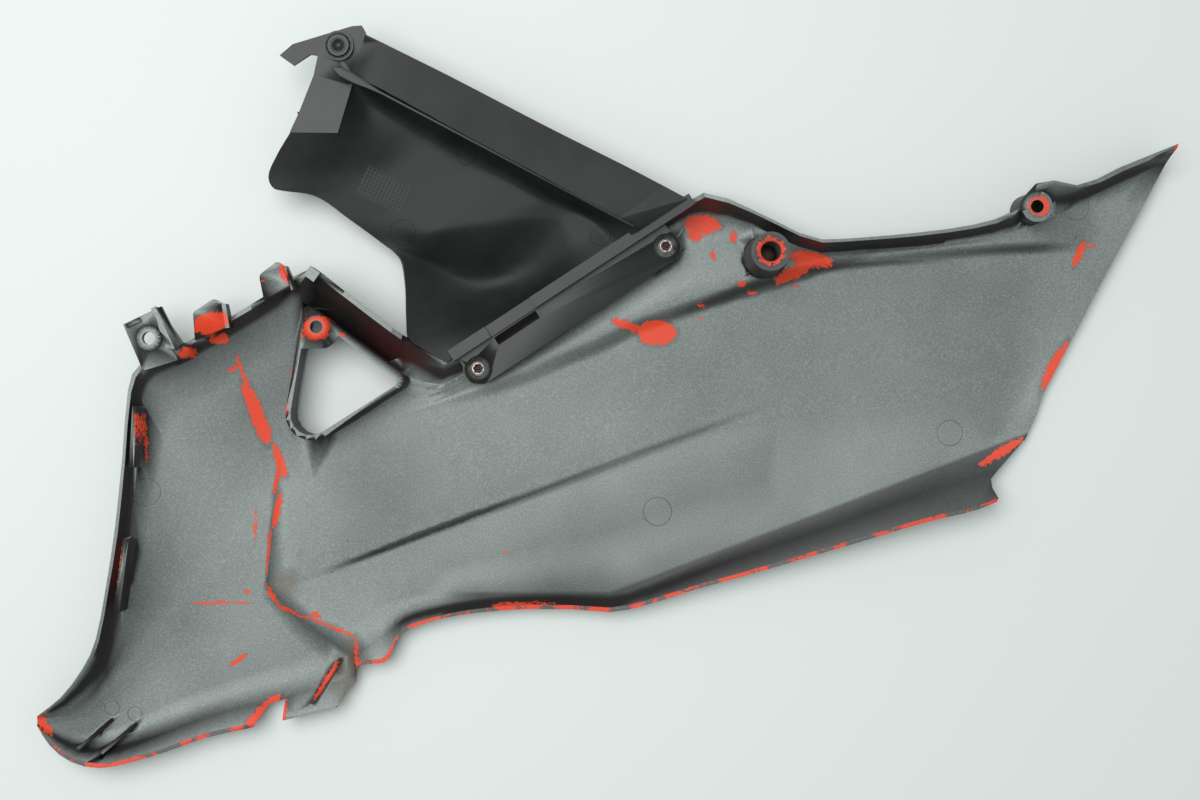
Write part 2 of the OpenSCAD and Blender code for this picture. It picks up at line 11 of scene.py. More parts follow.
import bmesh
import bpy
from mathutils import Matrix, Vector


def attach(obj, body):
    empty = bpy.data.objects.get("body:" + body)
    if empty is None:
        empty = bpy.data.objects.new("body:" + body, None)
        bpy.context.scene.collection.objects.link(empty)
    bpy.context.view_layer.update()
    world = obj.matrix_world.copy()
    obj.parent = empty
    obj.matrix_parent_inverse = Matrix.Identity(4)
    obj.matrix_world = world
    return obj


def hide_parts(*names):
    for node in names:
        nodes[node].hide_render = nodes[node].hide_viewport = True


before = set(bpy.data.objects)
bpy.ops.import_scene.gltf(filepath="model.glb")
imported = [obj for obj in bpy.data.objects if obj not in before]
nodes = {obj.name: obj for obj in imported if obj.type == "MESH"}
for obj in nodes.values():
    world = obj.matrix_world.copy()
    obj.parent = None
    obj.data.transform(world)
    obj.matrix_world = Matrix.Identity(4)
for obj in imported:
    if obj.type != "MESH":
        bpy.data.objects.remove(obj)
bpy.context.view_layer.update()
print("solids:", sorted(nodes))

# %% [markdown]
# The camera hangs over the part and looks straight down. One pixel of the photograph is 0.52 mm on
# the table. A point that stands higher is nearer to the camera and moves outwards in the picture,
# so the helper `spot` needs the height of a pixel's point to say where it is on the part.

# %% Camera over the table
MM = 0.001
PIXEL = 0.52 * MM
PHOTO_SIZE = (1200, 800)
PHOTO_CENTRE = Vector((-3 * MM, 0))
CAMERA_HEIGHT = 850 * MM


def spot(px, py, height=4 * MM):
    """Place on the part of a pixel of the photograph, for a point at a height."""
    shrink = PIXEL * (1 - height / CAMERA_HEIGHT)
    x = PHOTO_CENTRE.x + (px - PHOTO_SIZE[0] / 2) * shrink
    y = PHOTO_CENTRE.y + (PHOTO_SIZE[1] / 2 - py) * shrink
    return Vector((x, y, height))


def deselect():
    bpy.ops.object.select_all(action="DESELECT")


def activate(piece):
    """Selects one piece alone and makes it the one that the next operator works on."""
    deselect()
    piece.select_set(True)
    bpy.context.view_layer.objects.active = piece


def smooth_by_angle(degrees):
    """Shades the active piece smoothly, but for edges that are sharper than an angle."""
    bpy.ops.object.shade_smooth_by_angle(angle=math.radians(degrees))


deselect()
bpy.ops.object.camera_add(location=(*PHOTO_CENTRE, CAMERA_HEIGHT), rotation=(0, 0, 0))
camera = bpy.context.object
camera.name = "overhead_camera"
camera.data.sensor_width = 36
camera.data.lens = 36 * CAMERA_HEIGHT / (PHOTO_SIZE[0] * PIXEL)
camera.data.clip_start = 0.01
bpy.context.scene.camera = camera
print("lens of", round(camera.data.lens, 1), "mm")

# %% [markdown]
# One wide soft lamp hangs high over the nose's side of the table. Seen from straight above it lies
# mirrored in every level surface, so the flats shine and whatever is tilted stays dark, as it does
# in the photograph. A dim pale world fills the shadows.

# %% Soft light
def soft_lamp(name, place, aim, size, power):
    """A round area lamp at a place, turned to where it aims."""
    deselect()
    bpy.ops.object.light_add(type="AREA", location=place)
    lamp = bpy.context.object
    lamp.name = name
    lamp.data.shape = "DISK"
    lamp.data.size = size
    lamp.data.energy = power
    lamp.rotation_euler = (Vector(aim) - Vector(place)).to_track_quat("-Z", "Y").to_euler()
    return lamp


soft_lamp("ceiling_light", place=(-0.5, 0.36, 1.7), aim=(0, 0, 0), size=1.6, power=26)
world = bpy.data.worlds.new("room")
bpy.context.scene.world = world
world.use_nodes = True
world.node_tree.nodes["Background"].inputs["Color"].default_value = (0.86, 0.95, 0.92, 1)
world.node_tree.nodes["Background"].inputs["Strength"].default_value = 0.42
bpy.context.scene.view_settings.view_transform = "Standard"
print("one lamp and a dim world")

# %% [markdown]
# The finishes are worn, chipped and dirty, and each of those is a mask that is worked out from the
# place on the part. Such shader maths reads best as plain expressions. `Signal` wraps a socket, so
# that `1 - mask` or `grain * 0.3 + 0.2` adds the Math nodes by itself. `Finish` is one material: its
# `node` method adds any other node, and `put` sets or links a socket of the Principled shader.

# %% Shader maths as expressions
class Signal:
    """One output socket of a finish's nodes, with arithmetic on it."""

    def __init__(self, finish, socket):
        self.finish = finish
        self.socket = socket

    def math(self, operation, *others, clamp=False):
        values = dict(enumerate([self, *others]))
        settings = {"operation": operation, "use_clamp": clamp}
        return self.finish.node("ShaderNodeMath", settings, values)

    def __add__(self, other):
        return self.math("ADD", other)

    __radd__ = __add__

    def __mul__(self, other):
        return self.math("MULTIPLY", other)

    __rmul__ = __mul__

    def __sub__(self, other):
        return self.math("SUBTRACT", other)

    def __rsub__(self, other):
        return (self * -1.0).math("ADD", other)

    def lower(self, other):
        return self.math("MINIMUM", other)

    def higher(self, other):
        return self.math("MAXIMUM", other)

    def step(self, start, end):
        """0 where the signal is at start, 1 where it is at end, clamped in between."""
        scale = 1 / (end - start)
        return self.math("MULTIPLY_ADD", scale, -start * scale, clamp=True)


class Finish:
    """One material, with short ways to add nodes to it."""

    def __init__(self, name, colour, roughness, metallic=0.0):
        self.material = bpy.data.materials.new(name)
        self.material.use_nodes = True
        self.tree = self.material.node_tree
        self.shader = self.tree.nodes["Principled BSDF"]
        self.put("Base Color", (*colour, 1))
        self.put("Roughness", roughness)
        self.put("Metallic", metallic)
        self.place = self.node("ShaderNodeTexCoord", {}, {}, "Object")

    def link(self, socket, value):
        if isinstance(value, Signal):
            self.tree.links.new(value.socket, socket)
        else:
            socket.default_value = value

    def node(self, kind, settings, values, output=0):
        made = self.tree.nodes.new(kind)
        for key, value in settings.items():
            setattr(made, key, value)
        for key, value in values.items():
            self.link(made.inputs[key], value)
        return Signal(self, made.outputs[output])

    def put(self, name, value):
        self.link(self.shader.inputs[name], value)

    def noise(self, scale, detail=3.0, rough=0.55, where=None):
        values = {"Vector": where or self.place, "Scale": scale, "Detail": detail, "Roughness": rough}
        return self.node("ShaderNodeTexNoise", {}, values)

    def blend(self, mask, a, b):
        """Colour a where the mask is 0 and colour b where it is 1."""
        full = [v if isinstance(v, Signal) else (*v, 1) for v in (a, b)]
        values = {0: mask, 6: full[0], 7: full[1]}
        return self.node("ShaderNodeMix", {"data_type": "RGBA"}, values, 2)

    def vector(self, operation, *values, output=0):
        sockets = dict(enumerate(values))
        return self.node("ShaderNodeVectorMath", {"operation": operation}, sockets, output)

    def upward(self):
        """1 where the surface faces up, 0 on an upright wall and -1 underneath."""
        normal = self.node("ShaderNodeTexCoord", {}, {}, "Normal")
        return self.node("ShaderNodeSeparateXYZ", {}, {"Vector": normal}, "Z")

    def bump(self, height, strength, distance):
        values = {"Height": height, "Strength": strength, "Distance": distance}
        self.put("Normal", self.node("ShaderNodeBump", {}, values))


print("helpers ready")

# %% [markdown]
# The part lies on a pale painted table.

# %% Pale table
deselect()
bpy.ops.mesh.primitive_plane_add(size=8, location=(0, 0, 0))
table = bpy.context.object
table.name = "table"
pale = Finish("pale_table", (0.76, 0.8, 0.78), 0.5)
table.data.materials.append(pale.material)
print("table of", round(table.dimensions.x), "m")

# %% [markdown]
# The moulding is black plastic, undercoated orange and given a satin metallic grey overspray. The grey
# is mixed by the height of the normal: it lies on what faces up and thins on the steep walls, and the
# same mask paints shade, so every tilted face stays dark. A fine noise gives the grain of the spray, a
# broad one its cloudy patches. The top of the tall boss was masked, so it has stayed dark.

# %% Grey overspray
GRAIN_SCALE = 1100
CLOUD_SCALE = 11
HOLES = {"ear": (-146.3, 36.94, 3.25), "rear_boss": (218, 97.85, 3.25), "tall_boss": (81.2, 73.28, 4.9)}
BOSS_MASK = (9 * MM, 12.5 * MM)
LEAST_COAT = 0.22


def from_axis(finish, x, y):
    """Distance on the table from an upright axis at x and y millimetres."""
    flat = finish.vector("MULTIPLY", finish.place, (1, 1, 0))
    return finish.vector("DISTANCE", flat, (x * MM, y * MM, 0), output="Value")


grey = Finish("oversprayed_grey", (0.1, 0.105, 0.11), 0.46, 0.35)
grain = grey.noise(GRAIN_SCALE, 3.0, 0.75)
clouds = grey.noise(CLOUD_SCALE, 4.0, 0.6)
faces_up = grey.upward()
# Partly painted shade: the grey fades out on tilted faces, so they stay dark.
spray_and_tilt_shade = (faces_up + (clouds - 0.5) * 0.06).step(0.7, 0.975)
flecks = grain.step(0.45, 0.7)
bright = clouds.step(0.25, 0.75) * 0.35 + flecks * 0.5 + 0.08
spray_colour = grey.blend(bright, (0.115, 0.13, 0.126), (0.33, 0.37, 0.355))
bare_colour = grey.blend(clouds.step(0.35, 0.65), (0.014, 0.013, 0.013), (0.024, 0.021, 0.02))
boss_x, boss_y, _ = HOLES["tall_boss"]
spray_and_tilt_shade = spray_and_tilt_shade * from_axis(grey, boss_x, boss_y).step(*BOSS_MASK).higher(LEAST_COAT)
outside = faces_up.step(-0.2, -0.5)
print("overspray with", len(grey.tree.nodes), "nodes so far")

# %% [markdown]
# Where the grey has chipped off, the orange shows. Painting the chips by hand would need an image, so
# each chip is an ellipse laid over the photograph: the pixel of its middle, its length and width in
# pixels, its turn in degrees and the height of the surface there in millimetres.

# %% Places of the chips
chips = {
    "beside_the_guide": ((702, 225), 36, 19, -4, 8),
    "beside_the_guide_low": ((695, 233), 14, 17, 0, 8),
    "between_screw_and_boss": ((733, 238), 7, 11, 20, 7),
    "between_screw_and_boss_low": ((713, 257), 5, 10, 10, 7),
    "right_of_the_boss": ((809, 260), 46, 15, -10, 5),
    "under_the_boss": ((796, 271), 48, 13, 29, 5),
    "left_of_the_fold": ((741, 285), 7, 5, 0, 5),
    "on_the_fold": ((752, 293), 10, 3, 12, 5),
    "right_of_the_fold": ((795, 286), 4, 3, 0, 4),
    "big_flank_chip": ((657, 333), 38, 25, 0, 6),
    "big_flank_chip_tail": ((628, 326), 34, 9, -17, 6),
    "flank_speck": ((701, 306), 6, 3, 0, 6),
    "flank_speck_low": ((700, 318), 4, 4, 0, 6),
    "tiny_flank_speck": ((505, 552), 5, 3, 0, 3),
    "nose_streak": ((257, 413), 64, 14, -72, 8),
    "nose_streak_end": ((264, 430), 15, 14, 0, 7),
    "nose_streak_start": ((245, 372), 36, 4, -72, 9),
    "nose_streak_barb": ((236, 369), 9, 4, 42, 9),
    "under_the_tongue": ((223, 339), 16, 11, 12, 14),
    "step_chip_high": ((279, 461), 34, 9, -70, 7),
    "step_chip_mid": ((276, 481), 26, 5, 80, 6),
    "step_chip_low": ((277, 511), 36, 7, 78, 6),
    "step_dashes": ((268, 551), 52, 2.5, 84, 6),
    "step_dashes_left": ((255, 526), 34, 2, 88, 5),
    "step_corner": ((270, 594), 24, 5, -68, 8),
    "lip_first": ((292, 613), 36, 3.5, -20, 8),
    "lip_second": ((330, 627), 52, 3, -21, 8),
    "lip_last": ((356, 650), 28, 4, -84, 9),
    "lip_patch": ((316, 615), 9, 5, -20, 7),
    "scratch_across": ((220, 603), 60, 2.5, 0, 5),
    "nose_spots": ((238, 660), 22, 5, 35, 4),
    "nose_spots_high": ((247, 592), 6, 3, 0, 5),
    "notch_left": ((264, 710), 42, 11, 42, 9),
    "notch_right": ((284, 712), 26, 7, 86, 9),
    "gusset": ((326, 681), 44, 5, 58, 10),
    "nose_tip": ((44, 724), 26, 7, -58, 12),
    "rim_bulge": ((526, 606), 70, 7, 0, 9),
    "flank_end": ((366, 663), 26, 5, -4, 10),
    "tail_edge": ((1054, 366), 54, 12, 62, 4),
    "tail_edge_low": ((1005, 452), 52, 8, 31, 12),
    "tail_face": ((1077, 255), 27, 8, 66, 4),
    "tail_face_bits": ((1090, 246), 9, 3, 10, 4),
    "tail_tip": ((1172, 147), 16, 7, 55, 9),
    "ear": ((317, 328), 28, 23, 20, 24),
    "ear_spot": ((342, 335), 5, 4, 0, 24),
    "collar_spot": ((302, 336), 4, 3, 0, 24),
    "collar_left": ((290, 374), 3, 9, 0, 24),
    "collar_low": ((286, 408), 3, 12, 0, 24),
    "left_tongue": ((212, 323), 36, 21, 14, 31),
    "right_tongue": ((285, 274), 19, 8, -64, 33),
    "right_tongue_spot": ((263, 281), 4, 4, 0, 33),
    "block": ((181, 352), 14, 9, 30, 41),
    "boss_ring": ((771, 251), 26, 26, 0, 45),
    "rear_ring": ((1039, 206), 20, 20, 0, 24),
    "upper_fin": ((139, 438), 2.5, 50, 3, 28),
    "lower_fin": ((117, 578), 2.5, 70, -10, 27),
}
print(len(chips), "chips")

# %% [markdown]
# A Mapping node turns and scales the place, so that an ellipse becomes a circle of radius 1, and the
# length of the result says how far out a point is. A noise pushes the place about before it is
# measured, which frays the outlines as flaked paint is frayed.

# %% Ragged ellipses
def nearest_chip(finish, place, marks):
    """How far a place is out of the nearest ellipse: 0 in its middle and 1 on its outline."""
    flat = finish.vector("MULTIPLY", place, (1, 1, 0))
    nearest = None
    for (px, py), long, wide, turn, height in marks.values():
        middle = spot(px, py, height * MM)
        half = PIXEL / 2
        values = {"Vector": flat, "Location": (middle.x, middle.y, 0),
                  "Rotation": (0, 0, math.radians(turn)), "Scale": (long * half, wide * half, 1)}
        local = finish.node("ShaderNodeMapping", {"vector_type": "TEXTURE"}, values)
        reach = finish.vector("LENGTH", local, output="Value")
        nearest = nearest.lower(reach) if nearest else reach
    return nearest


def frayed(finish, amount, scale=420):
    """The place, pushed about by a noise so that outlines get ragged."""
    values = {"Vector": finish.place, "Scale": scale, "Detail": 4.0, "Roughness": 0.7}
    push = finish.node("ShaderNodeTexNoise", {}, values, "Color")
    centred = finish.vector("SUBTRACT", push, (0.5, 0.5, 0.5))
    return finish.vector("MULTIPLY_ADD", centred, (amount, amount, amount), finish.place)


print("ellipses ready")

# %% [markdown]
# Nothing has chipped inside the three holes or on the steep walls, so the chips are kept to what faces
# up and is outside the holes. A wider mask round each chip is its dark broken rim.

# %% Chips down to the orange undercoat
CHIP_FRAY = 7 * MM
HOLE_EDGE = 0.4
on_top = faces_up.step(0.0, 0.3)
for x, y, radius in HOLES.values():
    on_top = on_top * from_axis(grey, x, y).step(radius * MM, (radius + HOLE_EDGE) * MM)
chip_reach = nearest_chip(grey, frayed(grey, CHIP_FRAY), chips)
chipped = chip_reach.step(1.04, 0.96) * on_top
chip_rim = chip_reach.step(1.3, 1.04) * on_top
print("chips keep out of", len(HOLES), "holes")

# %% [markdown]
# The falling side of each fold and the flange along the lower rim get painted shade: the grey is
# taken off there, so they look as dark as the tilted faces. The flange starts at a crease, level at
# first and then straight up to the tail, so a signed distance from those two lines gives it a crisp
# edge. The folds get soft ellipses, and two broad ones make the flank a little darker low down.

# %% Painted shade on the flange and the folds
CREASE_HEIGHT = 6 * MM
CREASE_BLUR = 0.8 * MM
FLANGE_SHADE = 0.66
FOLD_SHADE = 0.6
crease_start, crease_end = spot(600, 597, CREASE_HEIGHT), spot(1000, 444, CREASE_HEIGHT)
crease_run = (crease_end - crease_start).normalized()
downhill = Vector((crease_run.y, -crease_run.x, 0))
past_crease = (grey.vector("DOT_PRODUCT", grey.place, downhill, output="Value")
               - crease_start.dot(downhill)).step(-CREASE_BLUR, CREASE_BLUR)
east = grey.node("ShaderNodeSeparateXYZ", {}, {"Vector": grey.place}, "X")
north = grey.node("ShaderNodeSeparateXYZ", {}, {"Vector": grey.place}, "Y")
past_level = (spot(520, 593, CREASE_HEIGHT).y - north).step(-CREASE_BLUR, CREASE_BLUR)
on_flange = past_crease.higher(past_level) * east.step(spot(440, 0).x, spot(480, 0).x)
# Painted shade on the falling side of each fold and on the flange.
fold_shade_marks = {"upper_fold": ((775, 282), 200, 15, 17, 8), "lower_fold": ((430, 531), 170, 7, 21, 5)}
shaded_folds = nearest_chip(grey, frayed(grey, 4 * MM, 90), fold_shade_marks).step(1.25, 0.75) * FOLD_SHADE
fold_and_flange_shade = shaded_folds.higher(on_flange * FLANGE_SHADE)
# The flank is made a little darker low down.
darker_low_marks = {"under_lower_fold": ((640, 542), 540, 105, 20, 4), "by_the_step": ((385, 480), 130, 150, 0, 5)}
darkened_low = nearest_chip(grey, grey.place, darker_low_marks).step(1.3, 0.4) * 0.25
# Painted shade: tilted faces, the folds and the flange take the dark bare colour.
skin_colour = grey.blend(spray_and_tilt_shade * (1 - fold_and_flange_shade) * (1 - darkened_low), bare_colour, spray_colour)
skin_colour = grey.blend(outside, skin_colour, (0.036, 0.037, 0.038))
print("crease of", round((crease_end - crease_start).length / MM), "mm")

# %% [markdown]
# Dust in the corner of the step and the reddish film on the wall beside the window are stains, and a
# pale patch on the nose is a painted highlight: soft ellipses that only tint, broken up by a noise.

# %% Stains and a painted highlight
STAIN_FRAY = 14 * MM
dust = {"step_corner_dust": ((287, 583), 34, 26, 30, 8), "broken_end_dust": ((346, 668), 30, 62, -12, 9),
        "boss_floor": ((771, 251), 16, 16, 0, 45)}
nose_highlight_marks = {"nose_highlight_patch": ((170, 390), 46, 34, -25, 12)}
red_film = {"window_wall": ((392, 342), 90, 44, -36, 22), "far_wall": ((712, 205), 40, 14, -20, 14)}
soft_edge = frayed(grey, STAIN_FRAY, 90)
dusty = nearest_chip(grey, soft_edge, dust).step(1.25, 0.4) * clouds.step(0.2, 0.6)
# Painted highlight: a pale patch where the nose catches the lamp.
nose_highlight = nearest_chip(grey, soft_edge, nose_highlight_marks).step(1.3, 0.2) * grey.noise(120, 4.0, 0.7).step(0.35, 0.7)
filmed = nearest_chip(grey, soft_edge, red_film).step(1.2, 0.2) * (1 - spray_and_tilt_shade) * clouds.step(0.25, 0.7)
print(len(dust) + len(nose_highlight_marks) + len(red_film), "stains")

# %% [markdown]
# The ejector pins of the mould left round marks. Each is a fine ring round a pixel of the photograph,
# given with its width in pixels and its height in millimetres. The rings are shallow, so they go into
# the bump, and the colour is a little darker along them.

# %% Marks of the ejector pins
pin_marks = [((150, 492), 27, 8), ((658, 512), 28, 4), ((1075, 207), 27, 4), ((951, 433), 25, 4),
             ((112, 709), 14, 6), ((134, 715), 14, 6)]


def ring_depth(finish, marks, line=0.5 * MM):
    """1 on the line round each pin mark, 0 elsewhere."""
    flat = finish.vector("MULTIPLY", finish.place, (1, 1, 0))
    nearest = None
    for (px, py), wide, height in marks:
        middle = spot(px, py, height * MM)
        reach = finish.vector("DISTANCE", flat, (middle.x, middle.y, 0), output="Value")
        off_line = (reach - wide * PIXEL / 2).math("ABSOLUTE")
        nearest = nearest.lower(off_line) if nearest else off_line
    return nearest.step(line, 0)


pin_rings = ring_depth(grey, pin_marks) * on_top
print(len(pin_marks), "pin marks")

# %% [markdown]
# The layers are put over each other from the plastic up: film, dust, the painted highlight on the
# nose, the dark rim of a chip and the orange itself. The outer face lies underneath, out of sight, and
# is left a plain dark satin.

# %% Layers of the panel's finish
orange = grey.blend(grain.step(0.3, 0.7), (0.72, 0.045, 0.014), (0.86, 0.075, 0.022))
layers = grey.blend(filmed * 0.55, skin_colour, (0.16, 0.012, 0.01))
layers = grey.blend(dusty * 0.55, layers, (0.19, 0.15, 0.1))
# Painted highlight on the nose.
layers = grey.blend(nose_highlight * 0.25, layers, (0.4, 0.43, 0.43))
layers = grey.blend(chip_rim * 0.35, layers, (0.03, 0.025, 0.025))
layers = grey.blend(pin_rings * 0.4, layers, (0.04, 0.043, 0.044))
grey.put("Base Color", grey.blend(chipped, layers, orange))
grey.put("Metallic", spray_and_tilt_shade * (1 - chipped) * 0.4)
grey.put("Roughness", 0.4 + grain * 0.16 + dusty * 0.2 - nose_highlight * 0.04 + chipped * 0.06)
grey.bump(grain * 0.35 - pin_rings * 0.8 + clouds * 0.6, 0.45, 0.3 * MM)
print("panel finish has", len(grey.tree.nodes), "nodes")

# %% [markdown]
# The rims have been dragged over the ground, so their grey is worn through to the orange in long
# frayed lines. The same spray is built once more with a noise that decides where it is gone, and
# this second finish goes on the level faces of the rims, further down.

# %% Scraped finish of the rims
scraped = Finish("scraped_rim", (0.1, 0.105, 0.11), 0.5)
rim_grain = scraped.noise(1300, 2.0, 0.7)
rim_wear = scraped.noise(75, 5.0, 0.75)
worn_through = rim_wear.step(0.47, 0.5)
rim_grey = scraped.blend(rim_grain.step(0.3, 0.7), (0.05, 0.052, 0.053), (0.12, 0.13, 0.132))
rim_orange = scraped.blend(rim_grain.step(0.3, 0.7), (0.6, 0.03, 0.012), (0.86, 0.075, 0.022))
scraped.put("Base Color", scraped.blend(worn_through, rim_grey, rim_orange))
scraped.put("Roughness", 0.42 + rim_grain * 0.2)
scraped.bump(rim_grain * 0.4 - worn_through * 0.6, 0.5, 0.3 * MM)
print("scraped finish has", len(scraped.tree.nodes), "nodes")

# %% [markdown]
# The air guide is a separate black moulding with a satin grain. Dirt dulls it in broad patches, and
# three round marks and a small moulded grid are pressed into it. The finish is made twice: the bowl's
# copy has less shine, which paints shade on it, so that it shows less of the lamp and stays darker.

# %% Black moulding
GRID_STEP = 1.9
GRID_HALF = (12.3, 7.6)
GRID_EDGE = 0.3
GRID_TURN = -26
GRID_CENTRE = spot(384, 190, 18 * MM)
guide_marks = [((468, 159), 19, 10), ((402, 233), 25, 18), ((600, 236), 18, 19)]


def guide_finish(name, shine):
    """The black moulding's finish, with the shine of its plastic as a number."""
    black = Finish(name, (0.02, 0.022, 0.022), 0.4)
    black.put("Specular IOR Level", shine)
    black_grain = black.noise(1500, 2.0, 0.6)
    film = black.noise(16, 5.0, 0.65)
    guide_rings = ring_depth(black, guide_marks)
    grid_values = {"Vector": black.place, "Location": (GRID_CENTRE.x, GRID_CENTRE.y, 0),
                   "Rotation": (0, 0, math.radians(GRID_TURN)), "Scale": (1 * MM, 1 * MM, 1)}
    on_grid = black.node("ShaderNodeMapping", {"vector_type": "TEXTURE"}, grid_values)
    along = black.node("ShaderNodeSeparateXYZ", {}, {"Vector": on_grid}, "X")
    across = black.node("ShaderNodeSeparateXYZ", {}, {"Vector": on_grid}, "Y")
    lines = along.math("PINGPONG", GRID_STEP / 2).lower(across.math("PINGPONG", GRID_STEP / 2))
    inside = (along.math("ABSOLUTE").step(GRID_HALF[0] + GRID_EDGE, GRID_HALF[0])
              * across.math("ABSOLUTE").step(GRID_HALF[1] + GRID_EDGE, GRID_HALF[1]))
    grid = lines.step(0.35, 0.1) * inside
    black_base = black.blend(film.step(0.35, 0.75), (0.009, 0.01, 0.01), (0.024, 0.026, 0.026))
    black_lined = black.blend(grid * 0.5, black_base, (0.09, 0.095, 0.095))
    black.put("Base Color", black.blend(guide_rings * 0.6, black_lined, (0.008, 0.008, 0.008)))
    black.put("Roughness", 0.34 + film.step(0.3, 0.8) * 0.12 + black_grain * 0.06)
    black.bump(black_grain * 0.25 + grid - guide_rings * 0.8, 0.35, 0.25 * MM)
    return black


black = guide_finish("black_moulding", 0.5)
# A copy with less shine: painted shade on the bowl.
bowl_black_shaded = guide_finish("black_bowl_shaded", 0.22)
print("grid of", [round(2 * half) for half in GRID_HALF], "mm and", len(guide_marks), "marks")

# %% [markdown]
# The screws are plated steel: bright on their flanges and heads. The recess is dark with rust and
# painted shade, and a trace of red shows there. One noise does for both, because tarnish and wear lie
# in the same places.

# %% Plated steel
steel = Finish("plated_steel", (0.55, 0.55, 0.54), 0.3, 1.0)
tarnish = steel.noise(420, 5.0, 0.7)
worn_steel = steel.blend(tarnish.step(0.35, 0.65), (0.42, 0.41, 0.39), (0.17, 0.16, 0.145))
screw_hearts = {"first_screw": ((478.6, 368.8), 9, 9, 0, 26),
                "second_screw": ((665.9, 246.3), 9, 9, 0, 26)}
# Painted shade with rust in each screw's recess.
recess_rust_and_shade = nearest_chip(steel, frayed(steel, 1.2 * MM, 900), screw_hearts).step(1.1, 0.8)
red_trace = recess_rust_and_shade * tarnish.step(0.52, 0.6)
steel_with_dark_recess = steel.blend(recess_rust_and_shade * 0.8, worn_steel, (0.05, 0.04, 0.035))
steel.put("Base Color", steel.blend(red_trace * 0.6, steel_with_dark_recess, (0.42, 0.03, 0.02)))
steel.put("Roughness", 0.24 + tarnish * 0.22 + recess_rust_and_shade * 0.3)
steel.bump(tarnish, 0.3, 0.1 * MM)
print(len(screw_hearts), "screw recesses")

# %% [markdown]
# The push rivet is nylon, a little glossier than the guide. Its pin is a shade lighter than its body,
# so the finish is made by a function that takes the two ends of its colour.

# %% Nylon, and the finish of every solid
def nylon(name, low, high):
    """Worn nylon between a low and a high colour."""
    finish = Finish(name, high, 0.36)
    wear = finish.noise(700, 4.0, 0.6)
    finish.put("Base Color", finish.blend(wear.step(0.35, 0.7), low, high))
    finish.put("Roughness", 0.3 + wear * 0.16)
    finish.bump(wear, 0.2, 0.1 * MM)
    return finish


finishes = {
    "side_panel": grey,
    "duct_panel": black,
    "screws": steel,
    "clip_body": nylon("black_nylon", (0.012, 0.012, 0.013), (0.024, 0.024, 0.025)),
    "clip_pin": nylon("black_nylon_pin", (0.016, 0.016, 0.017), (0.03, 0.03, 0.031)),
}
print("finishes:", sorted(finishes))

# %% [markdown]
# A solid from the CAD side is a heap of loose triangles. Those can't shade smoothly, so a copy of each
# solid is merged: its smooth stretches shade smoothly then, and its edges stay crisp. The solid itself
# is left alone, and the copy is shown in its place.

# %% Merged copies of the solids
EDGE_ANGLE = 32
MERGE_WITHIN = 0.01 * MM


def merged_copy(node, angle):
    """A copy of a solid with its triangles joined, smooth up to an angle in degrees."""
    source = nodes[node]
    copy = source.copy()
    copy.data = source.data.copy()
    copy.name = node + "_look"
    copy.parent = None
    bpy.context.scene.collection.objects.link(copy)
    for key in list(copy.keys()):
        del copy[key]
    activate(copy)
    bpy.ops.object.mode_set(mode="EDIT")
    bpy.ops.mesh.select_all(action="SELECT")
    bpy.ops.mesh.remove_doubles(threshold=MERGE_WITHIN)
    bpy.ops.object.mode_set(mode="OBJECT")
    smooth_by_angle(angle)
    copy.data.materials.clear()
    copy.data.materials.append(finishes[node].material)
    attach(copy, "root")
    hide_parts(node)
    return copy


looks = {node: merged_copy(node, EDGE_ANGLE) for node in sorted(nodes)}
print("merged:", {name: len(o.data.polygons) for name, o in looks.items()})

# %% [markdown]
# Two folds stiffen the flank: a sharp narrow one low down and a wider one that climbs to the tail.
# Each is a line over pixels of the photograph. On its upper side the floor stands higher, and how
# much higher a point stands depends only on its distance from the line and its place along it.

# %% Lines of the folds
def polyline_place(point, line):
    """Signed distance from a point to a line, positive on its left, and how far along it is."""
    best = None
    run = 0.0
    for a, b in zip(line, line[1:]):
        side = b - a
        share = max(0.0, min(1.0, (point - a).dot(side) / side.length_squared))
        off = point - a - side * share
        reach = off.length if side.cross(off) > 0 else -off.length
        if best is None or abs(reach) < abs(best[0]):
            best = (reach, run + side.length * share)
        run += side.length
    return best[0], best[1] / run


def smooth(value):
    """A step from 0 to 1 with soft ends."""
    value = max(0.0, min(1.0, value))
    return value * value * (3 - 2 * value)


folds = {
    "lower_fold": {"line": [(312, 577), (345, 564), (460, 521), (580, 476), (700, 431), (790, 397)],
                   "width": 3.6 * MM, "lift": 2.0 * MM, "level_to": 8 * MM, "gone_at": 62 * MM,
                   "starts": 0.14, "ends": 0.62},
    "upper_fold": {"line": [(385, 417), (430, 405), (496, 388), (530, 376), (563, 361), (600, 346),
                            (640, 326), (690, 309), (765, 282), (826, 266), (860, 262), (1000, 250),
                            (1100, 246)],
                   "width": 8 * MM, "lift": 5.4 * MM, "level_to": 90 * MM, "gone_at": 100 * MM,
                   "starts": 0.42, "ends": 0.9},
}
print("folds:", sorted(folds))

# %% [markdown]
# The floor's faces are far too large to follow a fold. Those along the line are halved in rounds until
# no edge is longer than 1.8 mm, and made triangles again each time. That is done with bmesh, because
# it can pick the long edges alone.

# %% Halve the long edges along a line
FLOOR_TOP = 9 * MM
FOLD_HEIGHT = 5 * MM
EDGE_LIMITS = (24, 12, 6, 3, 1.8)


